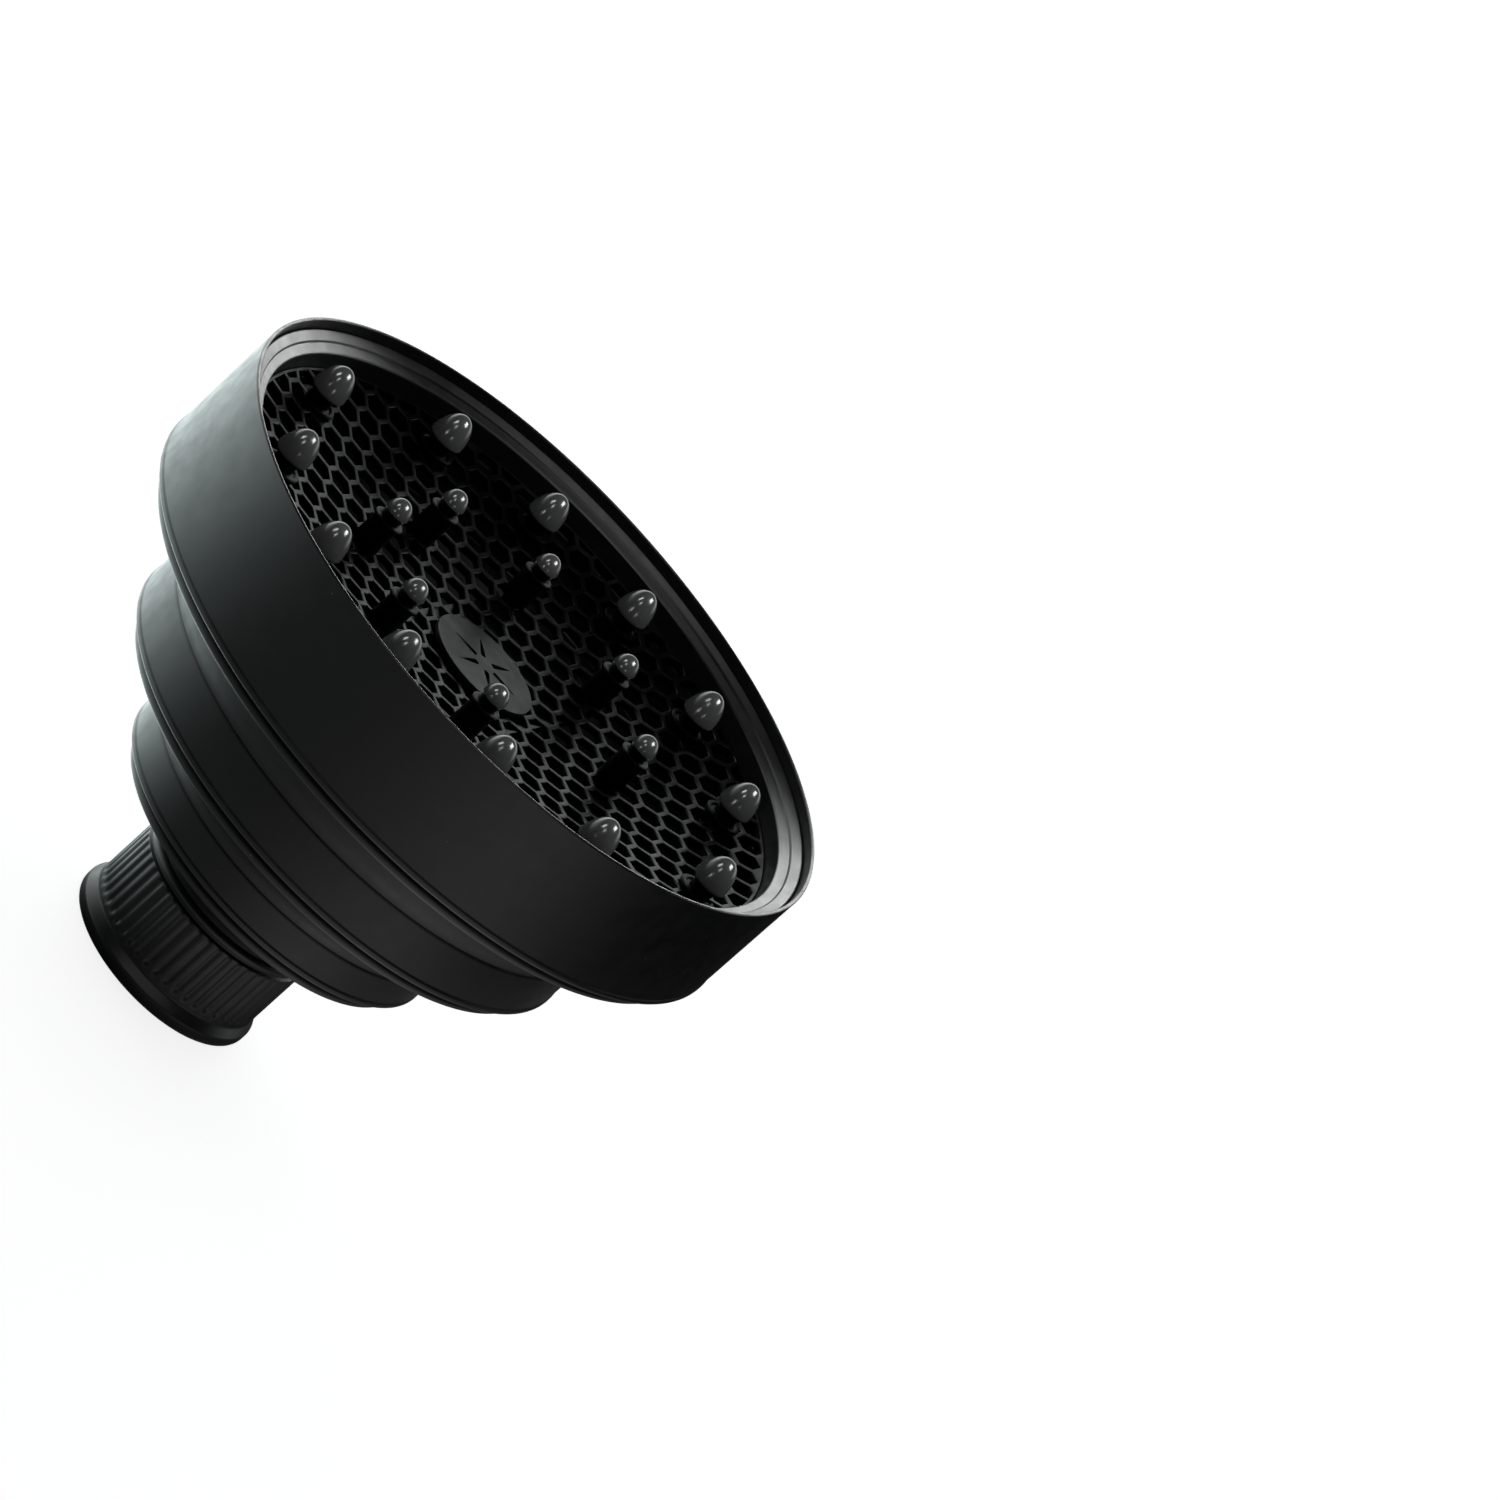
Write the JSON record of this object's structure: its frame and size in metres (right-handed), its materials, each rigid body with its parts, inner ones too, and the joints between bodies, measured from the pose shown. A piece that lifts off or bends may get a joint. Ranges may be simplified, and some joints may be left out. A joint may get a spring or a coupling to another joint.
{
  "type": "dryer diffuser",
  "caption": "Collapsible soft hair dryer diffuser: ribbed mouth, telescoping rings on folding webs, dished honeycomb grille and bristle fingers with soft tips.",
  "frame": {"origin": "centre of the mouth's end face, which the part stands on", "axes": "+Z along the air path, from the mouth that grips the dryer to the open rim; +X and +Y are square to it"},
  "size_m": [0.16, 0.16, 0.1175],
  "materials": {
    "silicone": "satin black silicone",
    "web_silicone": "thin satin black silicone",
    "grille_plastic": "satin black plastic",
    "disc_plastic": "satin dark grey plastic",
    "stem_plastic": "satin black plastic",
    "tip_rubber": "dark grey, glossy at the crown"
  },
  "bodies": {
    "collar": {"collar": "silicone", "lower_web": "web_silicone"},
    "small_ring": {"small_ring": "silicone", "middle_web": "web_silicone"},
    "middle_ring": {"middle_ring": "silicone", "upper_web": "web_silicone"},
    "front_ring": {"front_ring": "silicone", "grille_bezel": "silicone", "honeycomb_grille": "grille_plastic", "centre_disc": "disc_plastic", "deflector": "disc_plastic", "outer_finger_01": "stem_plastic", "outer_tip_01": "tip_rubber", "outer_finger_02": "stem_plastic", "outer_tip_02": "tip_rubber", "outer_finger_03": "stem_plastic", "outer_tip_03": "tip_rubber", "outer_finger_04": "stem_plastic", "outer_tip_04": "tip_rubber", "outer_finger_05": "stem_plastic", "outer_tip_05": "tip_rubber", "outer_finger_06": "stem_plastic", "outer_tip_06": "tip_rubber", "outer_finger_07": "stem_plastic", "outer_tip_07": "tip_rubber", "outer_finger_08": "stem_plastic", "outer_tip_08": "tip_rubber", "outer_finger_09": "stem_plastic", "outer_tip_09": "tip_rubber", "outer_finger_10": "stem_plastic", "outer_tip_10": "tip_rubber", "outer_finger_11": "stem_plastic", "outer_tip_11": "tip_rubber", "outer_finger_12": "stem_plastic", "outer_tip_12": "tip_rubber", "inner_finger_01": "stem_plastic", "inner_tip_01": "tip_rubber", "inner_finger_02": "stem_plastic", "inner_tip_02": "tip_rubber", "inner_finger_03": "stem_plastic", "inner_tip_03": "tip_rubber", "inner_finger_04": "stem_plastic", "inner_tip_04": "tip_rubber", "inner_finger_05": "stem_plastic", "inner_tip_05": "tip_rubber", "inner_finger_06": "stem_plastic", "inner_tip_06": "tip_rubber", "inner_finger_07": "stem_plastic", "inner_tip_07": "tip_rubber"}
  },
  "joints": [
    {"name": "lower_fold", "type": "slide", "parent": "collar", "child": "small_ring", "axis": [0, 0, 1], "range_m": [-0.012, 0], "deforming": ["lower_web"]},
    {"name": "middle_fold", "type": "slide", "parent": "small_ring", "child": "middle_ring", "axis": [0, 0, 1], "range_m": [-0.022, 0], "deforming": ["middle_web"]},
    {"name": "upper_fold", "type": "slide", "parent": "middle_ring", "child": "front_ring", "axis": [0, 0, 1], "range_m": [-0.027, 0], "deforming": ["upper_web"]}
  ]
}
